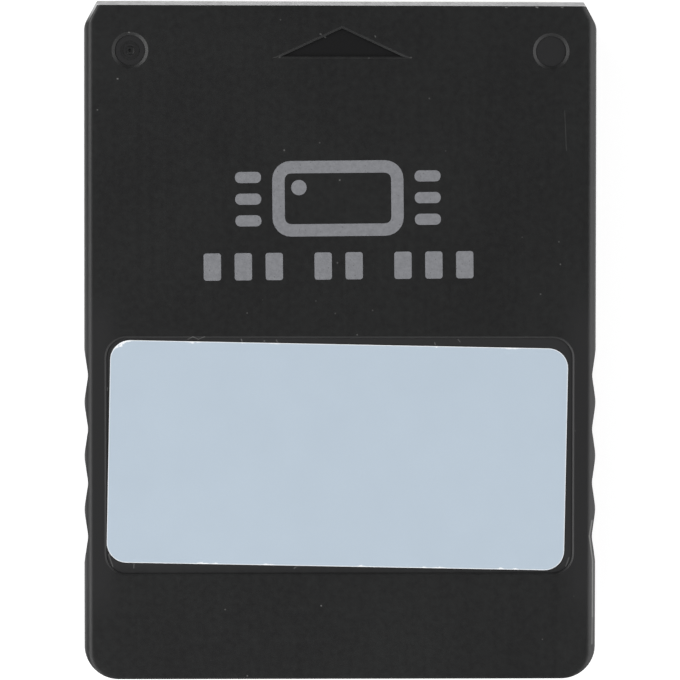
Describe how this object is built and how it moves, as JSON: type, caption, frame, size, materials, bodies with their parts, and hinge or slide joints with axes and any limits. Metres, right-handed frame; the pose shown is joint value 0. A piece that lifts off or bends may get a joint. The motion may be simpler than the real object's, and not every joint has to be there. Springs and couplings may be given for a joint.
{
  "type": "console memory card",
  "caption": "Flat black plug-in memory card for a games console, with a ribbed contact mouth, wavy finger grips, an arrow and a blank paper label set slightly askew.",
  "frame": {"origin": "centre of the card's footprint, on its rear face", "axes": "+Y out of the connector end along the card, +Z out of the front face, +X across the card to the right as the front is seen with the connector end up"},
  "size_m": [0.0414, 0.0548, 0.0079],
  "materials": {
    "shell_plastic": "fine spark-eroded grain on black ABS",
    "label_paper": "pale blue-grey coated paper",
    "board_laminate": "green solder mask on fibreglass",
    "contact_gold": "thin gold plating",
    "chip_epoxy": "moulded epoxy",
    "lead_tin": "tinned metal",
    "crystal_metal": "plain metal lid",
    "capacitor_ceramic": "fired ceramic with tinned ends",
    "resistor_ceramic": "dark glaze with tinned ends"
  },
  "bodies": {
    "root": {"front_shell": "shell_plastic", "rear_shell": "shell_plastic", "label_sticker": "label_paper", "circuit_board": "board_laminate", "contact_1": "contact_gold", "contact_2": "contact_gold", "contact_3": "contact_gold", "contact_4": "contact_gold", "contact_5": "contact_gold", "contact_6": "contact_gold", "contact_7": "contact_gold", "contact_8": "contact_gold", "memory_chip_body": "chip_epoxy", "memory_chip_leads": "lead_tin", "controller_chip_body": "chip_epoxy", "controller_chip_leads": "lead_tin", "crystal": "crystal_metal", "capacitor_1": "capacitor_ceramic", "capacitor_2": "capacitor_ceramic", "capacitor_3": "capacitor_ceramic", "capacitor_4": "capacitor_ceramic", "resistor_1": "resistor_ceramic", "resistor_2": "resistor_ceramic", "resistor_3": "resistor_ceramic", "resistor_4": "resistor_ceramic"}
  },
  "joints": []
}
